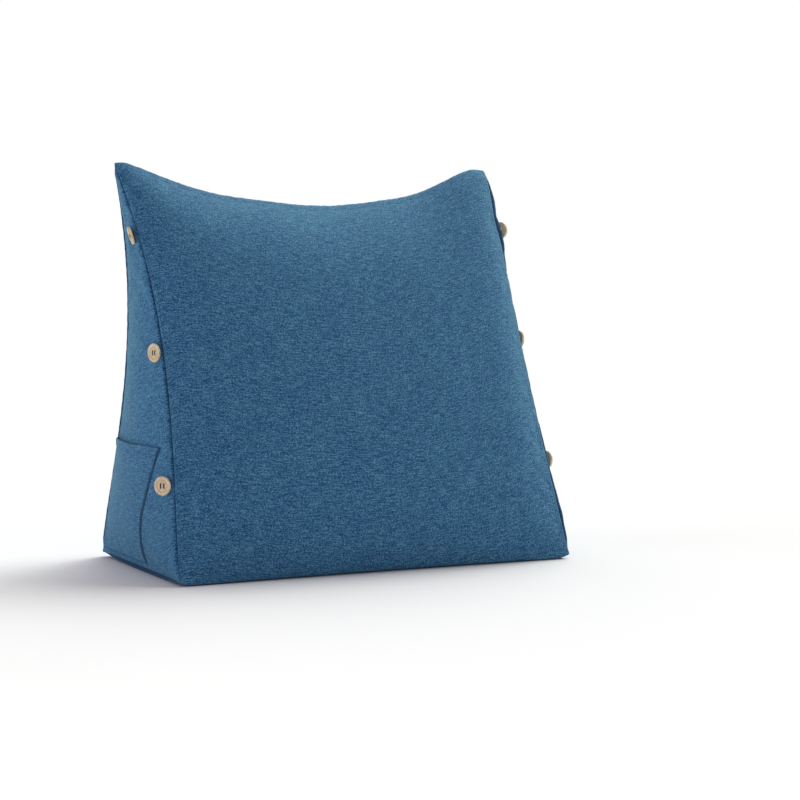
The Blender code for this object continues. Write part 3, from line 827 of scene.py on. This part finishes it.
def sewHem(height, lift, across):
    # One row of running stitches along the hem: each is a short strand that rises out of the cloth and
    # goes back by half a sine.
    count = int(pocket["flat"][0] / pocket["stitchPitch"])
    starts = (np.arange(count) + 0.5) / count * 0.94 + 0.03
    share = np.linspace(-0.5, 0.5, 7)
    p = starts[:, None] + share[None] * pocket["stitchLength"] / pocket["flat"][0]
    q = np.full_like(p, pocket["hemDepth"] / height)
    rise = np.interp(p, across, lift) - 0.0002 + 0.0004 * np.cos(math.pi * share)[None]
    points, quads, uv = tubes(pocketSurface(p, q, rise), pocket["stitchRadius"], 6)
    stitches, _ = makeObject("pocket_stitches", points, quads, uv)
    stitches.data.materials.append(navyThread)
    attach(stitches, "root")


navyThread = twistedThread()
buildPocket()


def turnedBeech():
    # Small turned beech buttons, sanded and oiled: pale tan wood with short straight flecks along the grain,
    # painted shade in the turned groove and the dish inside it, and a soft low gloss.
    material = bpy.data.materials.new("turnedBeech")
    material.use_nodes = True
    tree = material.node_tree
    shader = tree.nodes["Principled BSDF"]
    uv = addNode(tree, "ShaderNodeUVMap", {"uv_map": "clothMetres"}).outputs["UV"]
    mm = addNode(tree, "ShaderNodeVectorMath", {"operation": "SCALE"}, {0: uv, "Scale": 1000.0}).outputs[0]
    total = 0.5
    for across, along, detail, weight in [(0.9, 7.0, 2.0, 0.7), (0.35, 2.2, 1.0, 0.45), (7.0, 14.0, 1.0, 0.5)]:
        place = addNode(tree, "ShaderNodeMapping", {},
                        {"Vector": mm, "Scale": (1 / across, 1 / along, 1)}).outputs[0]
        grain = addNode(tree, "ShaderNodeTexNoise", {"noise_dimensions": "2D"},
                        {"Vector": place, "Scale": 1.0, "Detail": detail, "Roughness": 0.5}).outputs[0]
        centred = addNode(tree, "ShaderNodeMath", {"operation": "SUBTRACT"}, {0: grain, 1: 0.5}).outputs[0]
        total = addNode(tree, "ShaderNodeMath", {"operation": "MULTIPLY_ADD"},
                        {0: centred, 1: weight, 2: total}).outputs[0]
    ramp = addNode(tree, "ShaderNodeValToRGB", {}, {"Fac": total})
    ends = sorted(button["shades"])
    ramp.color_ramp.elements.new(ends[1])
    for element, position in zip(ramp.color_ramp.elements, ends):
        element.position, element.color = position, linearColor(button["shades"][position])
    grooveShade = addNode(tree, "ShaderNodeAttribute", {"attribute_name": "grooveAndDishPaintedShade"}).outputs["Fac"]
    color = addNode(tree, "ShaderNodeMix", {"data_type": "RGBA"},
                    {0: grooveShade, 6: ramp.outputs["Color"], 7: linearColor(button["grooveShadeColor"])})
    tree.links.new(color.outputs[2], shader.inputs["Base Color"])
    bump = addNode(tree, "ShaderNodeBump", {},
                   {"Height": total, "Strength": 0.3, "Distance": 0.0001}).outputs[0]
    tree.links.new(bump, shader.inputs["Normal"])
    shader.inputs["Roughness"].default_value = 0.55
    shader.inputs["Specular IOR Level"].default_value = 0.4
    return material


def quadrantLines():
    # One quarter of the button's face, from the rim of its hole to the quarter's outline, as rings.
    # The outline runs out along one axis, round the arc and back along the other.
    radius, half = button["faceProfile"][-1][0], button["holeSpacing"] / 2
    line = np.linspace(0, radius, 11)
    arc = np.linspace(0, math.pi / 2, 17)
    outline = np.concatenate([np.stack([line, 0 * line], 1)[:-1],
                              radius * np.stack([np.cos(arc), np.sin(arc)], 1),
                              np.stack([0 * line, line], 1)[::-1][1:-1]])
    way = outline - half
    angle = np.arctan2(way[:, 1], way[:, 0])
    ring = half + button["holeRadius"] * np.stack([np.cos(angle), np.sin(angle)], 1)
    blend = np.linspace(0, 1, 15)[:, None, None]
    return ring[None] * (1 - blend) + outline[None] * blend, arc


def buttonSurface():  # all grids of one button in its own frame: faces, hole walls and rim
    lines, arc = quadrantLines()
    parts = []
    for sx in (-1, 1):
        for sy in (-1, 1):
            flat = lines * np.array([sx, sy])
            radius = np.linalg.norm(flat, axis=-1)
            top = np.interp(radius, *np.array(button["faceProfile"]).T)
            inner = np.linalg.norm(lines - button["holeSpacing"] / 2, axis=-1) - button["holeRadius"]
            top = top - 0.00025 * np.exp(-(inner / 0.0004) ** 2)
            bottom = np.zeros_like(radius)
            face = np.concatenate([flat, top[..., None]], -1)
            back = np.concatenate([flat * np.minimum(1, 0.0107 / 0.0110), bottom[..., None]], -1)
            level = np.linspace(0, 1, 4)[:, None, None]
            wall = back[:1] * (1 - level) + face[:1] * level
            parts += [(face, sx * sy < 0), (back, sx * sy > 0), (wall, sx * sy < 0)]
    turn = np.concatenate([arc[:-1] + k * math.pi / 2 for k in range(4)])
    profile = np.array(button["rimProfile"])
    rim = np.stack([profile[:, :1] * np.cos(turn), profile[:, :1] * np.sin(turn),
                    profile[:, 1:] + 0 * turn], -1)
    return parts, rim


def placed(points, frameOf):  # from a button's own frame to the row's
    axes = np.stack([frameOf["across"], frameOf["up"], frameOf["out"]])
    return frameOf["centre"] - frameOf["out"] * button["halfThick"] + points @ axes


def buildButtons():
    wood = turnedBeech()
    parts, rim = buttonSurface()
    for number, frameOf in enumerate(buttonFrames(), start=1):
        points, quads, uv, first = [], [], [], 0
        for grid, flip in parts:
            rows, cols = grid.shape[:2]
            points.append(grid.reshape(-1, 3))
            quads.append(gridQuads(rows, cols, flip, first, closed=True))
            first += rows * cols
        rows, cols = rim.shape[:2]
        points.append(rim.reshape(-1, 3))
        quads.append(gridQuads(rows, cols, True, first, closed=True))
        points, quads = np.concatenate(points), np.concatenate(quads)
        uv = points[:, :2] + np.array([0.05 * number, 0.11 * number])
        radius = np.linalg.norm(points[:, :2], axis=1)
        # painted shade: the turned groove and the dish inside it are darker, on the face only
        groove = 0.7 * np.exp(-((radius - 0.0077) / 0.0009) ** 2) + 0.28 * (radius < 0.0075)
        groove = groove * (points[:, 2] > 0.001)
        piece, _ = makeObject("turned_button_%d" % number, placed(points, frameOf), quads, uv,
                              {"grooveAndDishPaintedShade": groove})
        piece.data.materials.append(wood)
        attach(piece, "root")
        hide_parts("button_%d" % number)
        half, level = button["holeSpacing"] / 2, button["barLevel"]
        turn = np.linspace(0, math.pi, 9)
        arcPath = np.stack([0 * turn, half * np.cos(turn), level + 0.0012 * np.sin(turn)], -1)
        bars = np.stack([arcPath + np.array([shift, 0, 0]) for shift in (-half, half)])
        post = np.linspace(0.0004, -0.0022, 9)
        around = np.linspace(0, 2 * math.pi, 5, endpoint=False)
        shank = np.stack([np.stack([0.0009 * np.cos(a) + 0 * post, 0.0009 * np.sin(a) + 0 * post, post], -1)
                          for a in around])
        barPoints, barQuads, barUv = tubes(bars, button["threadRadius"])
        shankPoints, shankQuads, shankUv = tubes(shank, 0.0006)
        sewing, _ = makeObject("button_sewing_%d" % number,
                               placed(np.concatenate([barPoints, shankPoints]), frameOf),
                               np.concatenate([barQuads, shankQuads + len(barPoints)]),
                               np.concatenate([barUv, shankUv]))
        sewing.data.materials.append(navyThread)
        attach(sewing, "root")
    print("buttons and their sewing made")


buildButtons()
